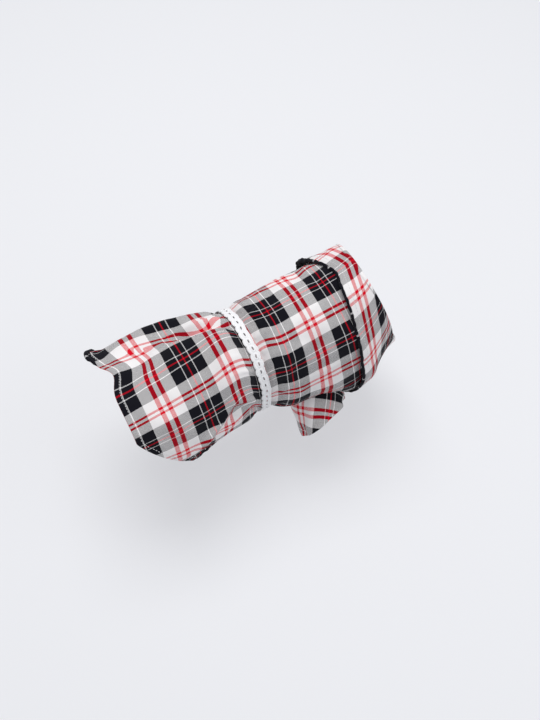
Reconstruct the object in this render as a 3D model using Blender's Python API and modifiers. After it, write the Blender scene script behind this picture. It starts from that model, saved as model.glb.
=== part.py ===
"""Dog dress in tartan cotton: bodice, skirt, turned-down collar, two short sleeves and a waist lace.

Metres, +Z up, +X toward the head, -Y the near side, +Y the far side. The origin is the top of the
waist's inner face on the spine, where the dress lies on the back. Every shell is first its inner
face: an open grid whose rings run round the body, thickened outwards by the cloth.

A place on a ring is an angle, turn, from the spine: 0 on the spine, a quarter turn on the near
flank, a half turn on the belly, and negative on the far side.
"""
from math import pi, radians

import bpy
import numpy as np

# Cloth and fits
CLOTH = 0.0020
GAP = 0.0003
COLLAR_CLEARANCE = 0.0012

# Power of the sections: 2 is a plain ellipse, more is squarer
BODY_POWER = 2.1
FOLD_POWER = 2.25

# Waist, the ring that bodice and skirt share
WAIST_HALF_WIDTH = 0.051
WAIST_DEPTH = 0.108
LACE_WIDTH = 0.0125
LACE_THICKNESS = 0.0014
LACE_CLEARANCE = 0.0009

# Bodice, from the waist to the neck seam
BODICE_LENGTH = 0.118
BODICE_RISE = 0.024
NECK_LEAN = 0.22

# Skirt, from the waist over the rump
SKIRT_LENGTH = 0.142
SKIRT_HALF_WIDTH = 0.070
SKIRT_DEPTH = 0.116
SKIRT_PUFF = 0.009
SKIRT_DROP = 0.006
SKIRT_WAIST_TURN = radians(120)
SKIRT_HEM_TURN = radians(98)
SKIRT_SIDE_LENGTH = 0.091
SIDE_CURVE_START = 0.5
SIDE_CURVE_POWER = 1.2

# Folds of bodice and skirt, and the small gathers that the waist draws in the skirt
FOLD_HEIGHT = 0.009
FOLD_WIDTH = 0.012
GATHER_HEIGHT = 0.0011
GATHER_START = 0.007
GATHER_FULL = 0.014
GATHER_END = 0.042
GATHERS_ROUND = 21

# Collar: stand, rolled fold and fall
FOLD_TOP = 0.034
FOLD_REACH = 0.128
FOLD_NEAR_WIDTH = 0.048
FOLD_FAR_WIDTH = 0.046
FOLD_DEPTH = 0.118
FOLD_LEAN = 0.30
FOLD_RADIUS = 0.0018
STAND_BEND = 0.45
FALL_SPRING = 0.0048
FALL_AHEAD = 0.2
COLLAR_COVER = 0.046
COLLAR_OPENING = radians(9)
POINT_SETBACK = radians(13)

# Sleeves
ARMHOLE_REACH = 0.055
ARMHOLE_TURN = radians(129)
ARMHOLE_RADIUS = 0.024
SLEEVE_LENGTH = 0.024
SLEEVE_SLANT = 0.010
SLEEVE_HEM_RADIUS = 0.029
SLEEVE_FORWARD = 0.10
SLEEVE_ROOT_LIFT = 0.0002
SLEEVE_MOUTH_LIFT = 0.0032
SLEEVE_EASE = 0.8

# The plug that cuts an armhole reaches this far into and out of the bodice's inner face
PLUG_INWARD = 0.004
PLUG_OUTWARD = 0.012

# Grid steps, and the shares and places of the rows that aren't even
STEPS_ROUND = 48
BODICE_STEPS = 14
SKIRT_STEPS = 14
SKIRT_STEPS_ROUND = 60
LEVEL_SHARE = 0.05
COLLAR_STEPS_ROUND = 46
COLLAR_PLACES = (0, 0.15, 0.4, 0.7, 1, 1.25, 1.5, 1.75, 2, 2.2, 2.4, 2.6, 2.8, 3)
LACE_STEPS = 5
SLEEVE_STEPS = 28
SLEEVE_SHARES = (0.2, 0.45, 0.72, 1.0)

# Bodice sections: along is the share of the bodice's length, top of its rise, near and far of the
# waist's half width, depth of the waist's depth
BODICE_SECTIONS = {
    "along": (0.00, 0.06, 0.14, 0.35, 0.60, 0.82, 1.00),
    "top": (0.00, 0.00, 0.26, 0.50, 0.72, 0.88, 1.00),
    "near": (1.00, 1.00, 1.10, 1.22, 1.30, 1.32, 1.05),
    "far": (1.00, 1.00, 1.04, 1.05, 1.03, 1.01, 0.97),
    "depth": (1.00, 1.00, 1.12, 1.28, 1.34, 1.33, 1.25),
}

# Skirt sections: along is the share of the skirt's length, puff and drop of their own heights, near
# and far of the way from the waist's to the skirt's half width, depth of the way to its depth
SKIRT_SECTIONS = {
    "along": (0.00, 0.05, 0.13, 0.38, 0.70, 1.00),
    "puff": (0.00, 0.00, 0.95, 0.35, 0.05, 0.00),
    "drop": (0.00, 0.00, 0.00, 0.20, 0.65, 1.00),
    "near": (0.00, 0.00, 0.22, 0.60, 1.10, 1.05),
    "far": (0.00, 0.00, 0.15, 0.55, 0.90, 0.90),
    "depth": (0.00, 0.00, 0.35, 0.70, 0.90, 1.00),
}

# Folds, one row each: turn at the waist and at the far end in degrees, width and height as shares of
# the fold's width and height, and the shares of the piece's length where it starts, is full and has
# died away
BODICE_FOLDS = (
    {"waist": -37, "end_turn": -40, "width": 0.9, "height": 0.30, "start": 0.08, "full": 0.34, "end": 0.95},
    {"waist": 96, "end_turn": 92, "width": 0.9, "height": 0.15, "start": 0.08, "full": 0.30, "end": 0.85},
    {"waist": 74, "end_turn": 72, "width": 0.8, "height": -0.20, "start": 0.08, "full": 0.30, "end": 0.80},
    {"waist": 118, "end_turn": 118, "width": 1.8, "height": 0.60, "start": 0.45, "full": 0.74, "end": 1.10},
)
SKIRT_FOLDS = (
    {"waist": -50, "end_turn": -57, "width": 1.0, "height": 0.85, "start": 0.10, "full": 0.55, "end": 1.4},
    {"waist": -26, "end_turn": -30, "width": 1.1, "height": -0.35, "start": 0.05, "full": 0.20, "end": 1.4},
    {"waist": -42, "end_turn": -44, "width": 0.6, "height": -0.55, "start": 0.05, "full": 0.12, "end": 0.3},
    {"waist": 92, "end_turn": 76, "width": 0.8, "height": 0.40, "start": 0.05, "full": 0.18, "end": 1.1},
    {"waist": -98, "end_turn": -90, "width": 0.9, "height": 0.35, "start": 0.05, "full": 0.25, "end": 1.1},
)

# How far the collar's fall covers the bodice: turn is the share of a half turn, cover of its width
COLLAR_FALL = {
    "turn": (0.00, 0.15, 0.30, 0.50, 0.70, 0.88, 1.00),
    "cover": (0.15, 0.32, 0.45, 0.57, 0.70, 1.00, 0.96),
}


def smooth_column(table, key, places):
    """Read one column of a section table along a curve through its rows.

    Between two rows the value follows a cubic whose slopes are the mean slopes of the neighbours.
    """
    first = next(iter(table))
    knots = np.array(table[first])
    values = np.array(table[key])
    slopes = np.gradient(values, knots)
    places = np.clip(places, knots[0], knots[-1])
    row = np.clip(np.searchsorted(knots, places, side="right") - 1, 0, len(knots) - 2)
    span = knots[row + 1] - knots[row]
    t = (places - knots[row]) / span
    rise = values[row + 1] - values[row]
    bend = (slopes[row] * span - rise) * (1 - t) - (slopes[row + 1] * span - rise) * t
    return values[row] + rise * t + t * (1 - t) * bend


def section(reach, lean, top, depth, near, far, shape, turn):
    """Point of a leaning section: an ellipse of power shape, near and far half widths, top and depth.

    Its height runs from the top down by depth, and reach grows by lean times the way down.
    """
    across = np.abs(np.sin(turn)) ** (2 / shape) * np.sign(np.sin(turn))
    upright = np.abs(np.cos(turn)) ** (2 / shape) * np.sign(np.cos(turn))
    width = np.where(across >= 0, near, far)
    down = depth / 2 * (1 - upright)
    return np.stack([reach + lean * down, -width * across, top - down], axis=-1)


def smooth_step(start, end, places):
    """0 before start and 1 after end, with a smooth cubic between."""
    t = np.clip((places - start) / (end - start), 0, 1)
    return t * t * (3 - 2 * t)


def fold_lift(folds, half_width, along, turn):
    """Height of the folds: each is a bell curve across that grows and dies along its run."""
    lift = np.zeros(np.broadcast(along, turn).shape)
    for fold in folds:
        crest = np.radians(fold["waist"] + (fold["end_turn"] - fold["waist"]) * along)
        off = (turn - crest) * half_width / (fold["width"] * FOLD_WIDTH)
        grown = smooth_step(fold["start"], fold["full"], along)
        left = 1 - smooth_step(fold["full"], fold["end"], along)
        lift += fold["height"] * FOLD_HEIGHT * np.exp(-off ** 2) * grown * left
    return lift


def raise_face(face, lift, turn):
    """Move a face away from the body's axis by lift, across and upright only."""
    face[..., 1] -= lift * np.sin(turn)
    face[..., 2] += lift * np.cos(turn)
    return face


def bodice_face(along, turn):
    """Inner face of the bodice: along 0 at the waist, 1 at the neck seam, turn from the spine."""
    start = GAP / 2
    face = section(
        reach=start + along * (BODICE_LENGTH - start),
        lean=NECK_LEAN * along ** 2,
        top=BODICE_RISE * smooth_column(BODICE_SECTIONS, "top", along),
        depth=WAIST_DEPTH * smooth_column(BODICE_SECTIONS, "depth", along),
        near=WAIST_HALF_WIDTH * smooth_column(BODICE_SECTIONS, "near", along),
        far=WAIST_HALF_WIDTH * smooth_column(BODICE_SECTIONS, "far", along),
        shape=BODY_POWER,
        turn=turn,
    )
    return raise_face(face, fold_lift(BODICE_FOLDS, WAIST_HALF_WIDTH, along, turn), turn)


def gather_lift(along, turn):
    """Height of the skirt's gathers: even waves round the body that die away from the waist."""
    down = along * SKIRT_LENGTH
    grown = smooth_step(GATHER_START, GATHER_FULL, down)
    left = 1 - smooth_step(GATHER_FULL, GATHER_END, down)
    return GATHER_HEIGHT * (1 - np.cos(GATHERS_ROUND * turn)) * grown * left


def skirt_face(along, turn):
    """Inner face of the skirt: along 0 at the waist, 1 at the hem on the spine."""
    start = GAP / 2
    puff = SKIRT_PUFF * smooth_column(SKIRT_SECTIONS, "puff", along)
    drop = SKIRT_DROP * smooth_column(SKIRT_SECTIONS, "drop", along)
    near = smooth_column(SKIRT_SECTIONS, "near", along) * (SKIRT_HALF_WIDTH - WAIST_HALF_WIDTH)
    far = smooth_column(SKIRT_SECTIONS, "far", along) * (SKIRT_HALF_WIDTH - WAIST_HALF_WIDTH)
    deep = smooth_column(SKIRT_SECTIONS, "depth", along) * (SKIRT_DEPTH - WAIST_DEPTH)
    face = section(
        reach=-start - along * (SKIRT_LENGTH - start),
        lean=0.0,
        top=puff - drop,
        depth=WAIST_DEPTH + puff - drop + deep,
        near=WAIST_HALF_WIDTH + near,
        far=WAIST_HALF_WIDTH + far,
        shape=BODY_POWER,
        turn=turn,
    )
    folds = fold_lift(SKIRT_FOLDS, SKIRT_HALF_WIDTH, along, turn)
    return raise_face(face, folds + gather_lift(along, turn), turn)


def unit(vectors):
    """Vectors of length one."""
    return vectors / np.linalg.norm(vectors, axis=-1, keepdims=True)


def lengthwise(along, turn):
    """Unit direction on the bodice's inner face that runs toward the neck."""
    step = 1e-4
    middle = np.clip(along, step, 1 - step)
    return unit(bodice_face(middle + step, turn) - bodice_face(middle - step, turn))


def outward(along, turn):
    """Unit normal of the bodice's inner face that points away from the body."""
    step = 1e-4
    crosswise = bodice_face(along, turn + step) - bodice_face(along, turn - step)
    return unit(np.cross(crosswise, lengthwise(along, turn)))


def make_object(name, points, closed_round, collection, material):
    """One open surface from a grid of points: rows run along the piece, columns round the body."""
    rows, columns = points.shape[:2]
    index = np.arange(rows * columns).reshape(rows, columns)
    wrap = np.roll(index, -1, axis=1) if closed_round else index[:, 1:]
    left = index if closed_round else index[:, :-1]
    quads = np.stack([left[:-1], wrap[:-1], wrap[1:], left[1:]], axis=-1).reshape(-1, 4)
    mesh = bpy.data.meshes.new(name)
    mesh.from_pydata(points.reshape(-1, 3).tolist(), [], quads.tolist())
    mesh.update()
    mesh.shade_smooth()
    mesh.materials.append(material)
    piece = bpy.data.objects.new(name, mesh)
    collection.objects.link(piece)
    return piece


def thicken(piece, thickness, side):
    """Give an open surface its wall, on the side that its faces point to (1) or behind it (-1)."""
    wall = piece.modifiers.new("wall", "SOLIDIFY")
    wall.thickness = thickness
    wall.offset = side
    wall.use_even_offset = True
    wall.use_quality_normals = True


def make_material(name, colour, roughness):
    """A plain cloth material of one colour."""
    material = bpy.data.materials.new(name)
    material.use_nodes = True
    shader = material.node_tree.nodes["Principled BSDF"]
    shader.inputs["Base Color"].default_value = (*colour, 1.0)
    shader.inputs["Roughness"].default_value = roughness
    shader.inputs["Metallic"].default_value = 0.0
    return material


def rows_from_waist(steps):
    """Shares of a length: two rows on the level cloth under the lace, then even steps to the end."""
    level = np.array([0, 0.5, 1.0]) * LEVEL_SHARE
    return np.concatenate([level, np.linspace(LEVEL_SHARE, 1, steps - 1)[1:]])


def make_bodice(collection, material):
    """The tube from the waist to the neck seam."""
    along, turn = np.meshgrid(
        rows_from_waist(BODICE_STEPS),
        np.linspace(-pi, pi, STEPS_ROUND, endpoint=False),
        indexing="ij",
    )
    piece = make_object("bodice", bodice_face(along, turn), True, collection, material)
    thicken(piece, CLOTH, 1)
    return piece


def skirt_place(share, spread):
    """Place on the skirt's sections, along and turn, of a point of its panel.

    Share is 0 at the waist and 1 at the hem, spread -1 and 1 at the side edges. The panel keeps its
    width while its sections grow, so its turn shrinks, and its hem is cut back at the corners.
    """
    side = np.clip((np.abs(spread) - SIDE_CURVE_START) / (1 - SIDE_CURVE_START), 0, 1)
    cut_back = (1 - SKIRT_SIDE_LENGTH / SKIRT_LENGTH) * side ** SIDE_CURVE_POWER
    along = share * (1 - cut_back)
    return along, spread * (SKIRT_WAIST_TURN + (SKIRT_HEM_TURN - SKIRT_WAIST_TURN) * along)


def make_skirt(collection, material):
    """The panel over the rump, whose two side edges leave the belly open."""
    share, spread = np.meshgrid(
        rows_from_waist(SKIRT_STEPS),
        np.linspace(-1, 1, SKIRT_STEPS_ROUND),
        indexing="ij",
    )
    points = skirt_face(*skirt_place(share, spread))
    piece = make_object("skirt", points, False, collection, material)
    piece.data.flip_normals()
    thicken(piece, CLOTH, 1)
    return piece


def fold_loop(turn):
    """The crest of the collar's fold, a leaning ring round the neck."""
    return section(
        reach=FOLD_REACH,
        lean=FOLD_LEAN,
        top=FOLD_TOP,
        depth=FOLD_DEPTH,
        near=FOLD_NEAR_WIDTH,
        far=FOLD_FAR_WIDTH,
        shape=FOLD_POWER,
        turn=turn,
    )


def collar_edge_place(turn):
    """Where on the bodice's length the collar's outer edge lies, as a share of that length."""
    share = np.abs(turn) / pi
    cover = COLLAR_COVER * smooth_column(COLLAR_FALL, "cover", share)
    return 1 - cover / BODICE_LENGTH


def collar_point(place, turn):
    """Face of the collar between stand and fall, which its wall lies outside of.

    Place 0 to 1 climbs the stand, 1 to 2 turns over and 2 to 3 is the fall.

    The stand starts a gap before the neck seam, in line with the bodice, and bends toward the crest
    on a quadratic curve. The turn is a half circle. The fall is a quadratic
    curve from the turn, over the seam, to the outer edge, and nowhere lower than the clearance over
    the bodice's outer face.
    """
    end = np.ones_like(turn)
    away = outward(end, turn)
    seam = bodice_face(end, turn) + CLOTH * away
    crest = fold_loop(turn)
    ahead = lengthwise(end, turn)
    stand_bend = seam + STAND_BEND * np.linalg.norm(crest - seam, axis=-1, keepdims=True) * ahead
    seam = seam + GAP * ahead
    forward = unit(crest - stand_bend)
    beside = away - forward * np.sum(away * forward, axis=-1, keepdims=True)
    beside = unit(beside)
    centre = crest - FOLD_RADIUS * forward
    stand_top = centre - FOLD_RADIUS * beside

    def rolled(angle):
        return centre + FOLD_RADIUS * (np.sin(angle) * forward - np.cos(angle) * beside)

    edge_place = collar_edge_place(turn)
    lift = CLOTH + COLLAR_CLEARANCE
    edge = bodice_face(edge_place, turn) + lift * outward(edge_place, turn)
    over = seam + FALL_SPRING * away
    t = np.clip(place - 2, 0, 1)[..., None]
    fall = (1 - t) ** 2 * rolled(pi) + 2 * t * (1 - t) * over + t ** 2 * edge
    past_seam = np.clip((t[..., 0] - FALL_AHEAD) / (1 - FALL_AHEAD), 0, 1)
    under_place = 1 - (1 - edge_place) * past_seam
    under = bodice_face(under_place, turn)
    up = outward(under_place, turn)
    height = np.sum((fall - under) * up, axis=-1, keepdims=True)
    fall = fall + np.maximum(lift - height, 0) * up
    climb = np.clip(place, 0, 1)[..., None]
    stand = (1 - climb) ** 2 * seam + 2 * climb * (1 - climb) * stand_bend + climb ** 2 * stand_top
    turn_over = rolled(pi * np.clip(place - 1, 0, 1)[..., None])
    which = place[..., None]
    return np.where(which <= 1, stand, np.where(which <= 2, turn_over, fall))


def make_collar(collection, material):
    """The collar, open at the chest, with the two front edges slanting back to its points."""
    places = np.array(COLLAR_PLACES)
    slant = np.clip(places - 2, 0, 1) * POINT_SETBACK
    reach = pi - COLLAR_OPENING / 2 - slant
    across = np.linspace(-1, 1, COLLAR_STEPS_ROUND)
    place, spread = np.meshgrid(places, across, indexing="ij")
    turn = spread * reach[:, None]
    piece = make_object("collar", collar_point(place, turn), False, collection, material)
    thicken(piece, CLOTH, -1)
    return piece


def armhole_loop(radius, lift, side, around):
    """A loop of the given radius on the bodice's inner face, lifted off it by lift."""
    along = (ARMHOLE_REACH + radius * np.cos(around)) / BODICE_LENGTH
    near_share = smooth_column(BODICE_SECTIONS, "near", ARMHOLE_REACH / BODICE_LENGTH)
    turn = side * (ARMHOLE_TURN + radius * np.sin(around) / (WAIST_HALF_WIDTH * near_share))
    along = np.broadcast_to(along, turn.shape)
    return bodice_face(along, turn) + lift * outward(along, turn)


def make_armhole_cutter(name, side, collection):
    """The plug that is cut from the bodice: the armhole's loop from well inside to well outside."""
    around = np.linspace(0, 2 * pi, SLEEVE_STEPS, endpoint=False)
    loops = [armhole_loop(ARMHOLE_RADIUS, lift, side, around) for lift in (-PLUG_INWARD, PLUG_OUTWARD)]
    points = np.concatenate(loops + [loops[0].mean(axis=0)[None], loops[1].mean(axis=0)[None]])
    count = SLEEVE_STEPS
    faces = []
    for k in range(count):
        after = (k + 1) % count
        faces.append((k, after, count + after, count + k))
        faces.append((after, k, 2 * count))
        faces.append((count + k, count + after, 2 * count + 1))
    mesh = bpy.data.meshes.new(name)
    mesh.from_pydata(points.tolist(), [], faces)
    mesh.update()
    if side > 0:
        mesh.flip_normals()
    cutter = bpy.data.objects.new(name, mesh)
    cutter.hide_render = True
    cutter.display_type = "WIRE"
    collection.objects.link(cutter)
    return cutter


def make_sleeve(name, side, collection, material):
    """A short flared sleeve: its root fills the armhole but for the gap, its hem hangs slanted."""
    around = np.linspace(0, 2 * pi, SLEEVE_STEPS, endpoint=False)
    root = ARMHOLE_RADIUS - GAP
    inner_end = armhole_loop(root, SLEEVE_ROOT_LIFT, side, around)
    mouth = armhole_loop(root, SLEEVE_MOUTH_LIFT, side, around)
    centre_along = np.array([ARMHOLE_REACH / BODICE_LENGTH])
    centre_turn = np.array([side * ARMHOLE_TURN])
    seat = bodice_face(centre_along, centre_turn)[0]
    axis = outward(centre_along, centre_turn)[0]
    axis = unit(axis + np.array([SLEEVE_FORWARD, 0, 0]))
    along_body = unit(np.array([1.0, 0, 0]) - axis * axis[0])
    across_body = unit(mouth[SLEEVE_STEPS // 4] - seat)
    across_body = unit(across_body - axis * (across_body @ axis))
    slant = SLEEVE_SLANT * np.cos(around - pi)
    hem = (
        seat
        + (SLEEVE_LENGTH + slant)[:, None] * axis
        + SLEEVE_HEM_RADIUS * np.cos(around)[:, None] * along_body
        + SLEEVE_HEM_RADIUS * np.sin(around)[:, None] * across_body
    )
    rings = [inner_end, mouth]
    for share in SLEEVE_SHARES:
        rings.append(mouth + share ** SLEEVE_EASE * (hem - mouth))
    points = np.stack(rings)
    piece = make_object(name, points, True, collection, material)
    if side > 0:
        piece.data.flip_normals()
    thicken(piece, CLOTH, -1)
    return piece


def make_waist_lace(collection, material):
    """The band round the waist, over the butted edges of bodice and skirt."""
    lift = CLOTH + LACE_CLEARANCE
    reach, turn = np.meshgrid(
        np.linspace(-LACE_WIDTH / 2, LACE_WIDTH / 2, LACE_STEPS),
        np.linspace(-pi, pi, STEPS_ROUND, endpoint=False),
        indexing="ij",
    )
    band = section(
        reach=reach,
        lean=0.0,
        top=lift,
        depth=WAIST_DEPTH + 2 * lift,
        near=WAIST_HALF_WIDTH + lift,
        far=WAIST_HALF_WIDTH + lift,
        shape=BODY_POWER,
        turn=turn,
    )
    piece = make_object("waist_lace", band, True, collection, material)
    thicken(piece, LACE_THICKNESS, 1)
    return piece


def cut(piece, cutter):
    """Cut one cutter out of a piece."""
    boolean = piece.modifiers.new(cutter.name, "BOOLEAN")
    boolean.operation = "DIFFERENCE"
    boolean.object = cutter
    boolean.solver = "EXACT"


def main():
    """Build the dress."""
    for old in list(bpy.data.objects):
        bpy.data.objects.remove(old, do_unlink=True)
    dress = bpy.data.collections.new("dog_dress")
    cutters = bpy.data.collections.new("cutters")
    bpy.context.scene.collection.children.link(dress)
    bpy.context.scene.collection.children.link(cutters)
    plaid = make_material("plaid_cotton", (0.36, 0.22, 0.24), 0.9)
    lace = make_material("cotton_lace", (0.86, 0.86, 0.88), 0.85)
    bodice = make_bodice(dress, plaid)
    for name, side in (("near", 1), ("far", -1)):
        cutter = make_armhole_cutter("armhole_" + name, side, cutters)
        cut(bodice, cutter)
        make_sleeve("sleeve_" + name, side, dress, plaid)
    make_skirt(dress, plaid)
    make_collar(dress, plaid)
    make_waist_lace(dress, lace)


main()
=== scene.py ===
"""Looks of the dog dress: tartan cotton cloth, its folds, hems and stitches, and the waist lace.

Metres, in the frame of the solids: +X toward the head, -Y the near side, +Z up. A place on a ring
is an angle, turn, from the spine: 0 on the spine, a quarter turn on the near flank, negative on
the far side. Each piece is a grid of points worked out as whole arrays.
"""
from math import pi, radians

import bmesh
import bpy
import numpy as np
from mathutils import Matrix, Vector


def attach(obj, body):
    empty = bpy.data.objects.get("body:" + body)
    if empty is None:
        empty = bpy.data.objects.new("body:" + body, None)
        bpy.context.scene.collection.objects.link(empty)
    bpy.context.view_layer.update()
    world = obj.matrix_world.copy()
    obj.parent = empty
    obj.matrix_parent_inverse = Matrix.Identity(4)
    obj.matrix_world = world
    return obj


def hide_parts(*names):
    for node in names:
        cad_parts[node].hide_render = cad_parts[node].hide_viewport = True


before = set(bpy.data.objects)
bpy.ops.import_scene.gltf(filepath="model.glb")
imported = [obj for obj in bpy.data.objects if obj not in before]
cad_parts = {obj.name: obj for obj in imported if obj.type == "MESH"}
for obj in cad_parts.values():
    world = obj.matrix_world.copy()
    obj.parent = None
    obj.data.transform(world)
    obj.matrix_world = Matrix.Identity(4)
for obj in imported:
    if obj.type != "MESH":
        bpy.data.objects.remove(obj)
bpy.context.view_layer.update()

# Sizes of the solids that the cloth follows
CLOTH = 0.0020
GAP = 0.0003
COLLAR_CLEARANCE = 0.0012
BODY_POWER = 2.1
FOLD_POWER = 2.25
WAIST_HALF_WIDTH = 0.051
WAIST_DEPTH = 0.108
LACE_THICKNESS = 0.0014
LACE_CLEARANCE = 0.0009
BODICE_LENGTH = 0.118
BODICE_RISE = 0.024
NECK_LEAN = 0.22
SKIRT_LENGTH = 0.142
SKIRT_HALF_WIDTH = 0.070
SKIRT_DEPTH = 0.116
SKIRT_PUFF = 0.009
SKIRT_DROP = 0.006
SKIRT_WAIST_TURN = radians(120)
SKIRT_HEM_TURN = radians(98)
SKIRT_SIDE_LENGTH = 0.091
SIDE_CURVE_START = 0.5
SIDE_CURVE_POWER = 1.2
FOLD_HEIGHT = 0.009
FOLD_WIDTH = 0.012
FOLD_TOP = 0.034
FOLD_REACH = 0.128
FOLD_NEAR_WIDTH = 0.048
FOLD_FAR_WIDTH = 0.046
FOLD_DEPTH = 0.118
FOLD_LEAN = 0.30
FOLD_RADIUS = 0.0018
STAND_BEND = 0.45
FALL_SPRING = 0.0048
FALL_AHEAD = 0.2
COLLAR_COVER = 0.046
COLLAR_OPENING = radians(9)
POINT_SETBACK = radians(13)
ARMHOLE_REACH = 0.055
ARMHOLE_TURN = radians(129)
ARMHOLE_RADIUS = 0.024
SLEEVE_LENGTH = 0.024
SLEEVE_SLANT = 0.010
SLEEVE_HEM_RADIUS = 0.029
SLEEVE_FORWARD = 0.10
SLEEVE_EASE = 0.8

# Cloth: real thickness that shows at an edge, the plaid's repeat, and turned hems
SHEET = 0.0009
COLLAR_SHEET = 0.0014
REPEAT = 0.064
HEM_WIDTH = 0.0065
HEM_RISE = 0.00045
HEM_STEP = 0.0014
STITCH_INSET = 0.0008
STITCH_DIP = 0.000315
STITCH_DIP_WIDTH = 0.0007
STITCH = 0.0021
STITCH_GAP = 0.0010
THREAD = 0.00026
ROLL_RADIUS = 0.0015
ROLL_AHEAD = 0.0010
ROLL_STEPS = 12
ROLL_CRUMPLE = 0.13
ROLL_RIDGES = ((1, 0.0021), (-2, 0.0013))

# Where the plaid lies: repeats at the middle of the lace, and the shift of the spine
BODICE_PLAID_START = -0.88
SKIRT_PLAID_START = 0.52
PLAID_START_ARC = 0.006
SPINE_PLAID = -0.5
COLLAR_STRIPE = 0.0155
SLEEVE_RED_ARC = 0.0093
SLEEVE_RED_TURN = radians(210)
SLEEVE_GRAIN = radians(26)

# Where on the cloth the rolls lie: repeats in the black bands both ways, so the rolls are solid black, the
# cloth's black band with painted shade under the edge, and how far they drift
ROLL_BLACK_AND_SHADE_ALONG = 0.34
ROLL_DRIFT = 0.05
ROLL_BLACK_AND_SHADE_ACROSS = 0.36
BLACK_DRIFT = 0.115
BLACK_RUN = 0.013

# Grids: steps lengthwise and round
BODICE_GRID = (150, 300)
SKIRT_GRID = (150, 290)
COLLAR_GRID = (104, 380)
SLEEVE_GRID = (64, 176)

# Sections, as shares of the named sizes: see the solids' own tables
BODICE_SECTIONS = {
    "along": (0.00, 0.06, 0.14, 0.35, 0.60, 0.82, 1.00),
    "top": (0.00, 0.00, 0.26, 0.50, 0.72, 0.88, 1.00),
    "near": (1.00, 1.00, 1.10, 1.22, 1.30, 1.32, 1.05),
    "far": (1.00, 1.00, 1.04, 1.05, 1.03, 1.01, 0.97),
    "depth": (1.00, 1.00, 1.12, 1.28, 1.34, 1.33, 1.25),
}
SKIRT_SECTIONS = {
    "along": (0.00, 0.05, 0.13, 0.38, 0.70, 1.00),
    "puff": (0.00, 0.00, 0.95, 0.35, 0.05, 0.00),
    "drop": (0.00, 0.00, 0.00, 0.20, 0.65, 1.00),
    "near": (0.00, 0.00, 0.22, 0.60, 1.10, 1.05),
    "far": (0.00, 0.00, 0.15, 0.55, 0.90, 0.90),
    "depth": (0.00, 0.00, 0.35, 0.70, 0.90, 1.00),
}
COLLAR_FALL = {
    "turn": (0.00, 0.15, 0.30, 0.50, 0.70, 0.88, 1.00),
    "cover": (0.15, 0.32, 0.45, 0.57, 0.70, 1.00, 0.96),
}
BODICE_FOLDS = (
    {"waist": -37, "end_turn": -40, "width": 0.9, "height": 0.30, "start": 0.08, "full": 0.34, "end": 0.95},
    {"waist": 96, "end_turn": 92, "width": 0.9, "height": 0.15, "start": 0.08, "full": 0.30, "end": 0.85},
    {"waist": 74, "end_turn": 72, "width": 0.8, "height": -0.20, "start": 0.08, "full": 0.30, "end": 0.80},
    {"waist": 118, "end_turn": 118, "width": 1.8, "height": 0.60, "start": 0.45, "full": 0.74, "end": 1.10},
)
SKIRT_FOLDS = (
    {"waist": -50, "end_turn": -57, "width": 1.0, "height": 0.85, "start": 0.10, "full": 0.55, "end": 1.4},
    {"waist": -26, "end_turn": -30, "width": 1.1, "height": -0.35, "start": 0.05, "full": 0.20, "end": 1.4},
    {"waist": -42, "end_turn": -44, "width": 0.6, "height": -0.55, "start": 0.05, "full": 0.12, "end": 0.3},
    {"waist": 92, "end_turn": 76, "width": 0.8, "height": 0.40, "start": 0.05, "full": 0.18, "end": 1.1},
    {"waist": -98, "end_turn": -90, "width": 0.9, "height": 0.35, "start": 0.05, "full": 0.25, "end": 1.1},
)

# Creases of the cloth, one row each: the two ends as (from the waist, from the spine) in
# millimetres, then width and height in millimetres, and how steep its side away from the spine is
BODICE_CREASES = (
    ((10, -20), (60, -38), 7, 1.6, 0.4),
    ((52, -42), (100, -28), 6, 1.5, 0.2),
    ((66, -56), (104, -44), 5, 1.4, 0.0),
    ((80, -18), (108, -6), 5, 0.8, 0.0),
    ((76, -48), (104, -30), 4, 1.3, 0.2),
    ((84, -62), (112, -42), 4, 1.3, 0.0),
    ((68, -32), (96, -20), 4, 0.8, 0.0),
    ((30, 20), (74, 30), 6, 0.7, 0.0),
    ((24, 52), (60, 48), 5, 0.8, 0.0),
    ((8, 12), (34, 20), 5, 0.9, 0.0),
    ((8, 34), (40, 42), 6, 1.0, 0.0),
    ((8, 62), (46, 66), 6, 1.2, 0.0),
    ((12, 84), (95, 86), 5, 2.2, 0.5),
    ((60, 74), (112, 64), 7, 1.2, 0.0),
    ((20, 108), (34, 96), 5, -1.2, 0.0),
)
SKIRT_CREASES = (
    ((10, 8), (44, 14), 5, 0.9, 0.0),
    ((9, 26), (38, 30), 5, 1.0, 0.0),
    ((9, 44), (50, 50), 6, 1.2, 0.0),
    ((2, 91), (48, 66), 5, 2.6, 0.4),
    ((32, 62), (106, 113), 5, 3.4, 0.5),
    ((8, 60), (60, 58), 7, -1.0, 0.0),
    ((6, 101), (52, 83), 7, -2.4, 0.0),
    ((44, 82), (106, 126), 7, -3.2, 0.0),
    ((60, 20), (136, 30), 9, 0.9, 0.0),
    ((70, 46), (138, 60), 8, 0.9, 0.0),
    ((6, -6), (78, -32), 5, -6.0, 0.0),
    ((6, -14), (72, -40), 5, 4.6, 0.0),
    ((62, -36), (130, -30), 9, -2.2, 0.0),
    ((96, -22), (138, -16), 7, -2.4, 0.0),
    ((12, -60), (124, -56), 8, 3.2, 0.2),
)


def smooth_column(table, key, places):
    """One column of a section table along a cubic through its rows, slopes from the neighbours."""
    first = next(iter(table))
    knots = np.array(table[first])
    values = np.array(table[key])
    slopes = np.gradient(values, knots)
    places = np.clip(places, knots[0], knots[-1])
    row = np.clip(np.searchsorted(knots, places, side="right") - 1, 0, len(knots) - 2)
    span = knots[row + 1] - knots[row]
    t = (places - knots[row]) / span
    rise = values[row + 1] - values[row]
    bend = (slopes[row] * span - rise) * (1 - t) - (slopes[row + 1] * span - rise) * t
    return values[row] + rise * t + t * (1 - t) * bend


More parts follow.
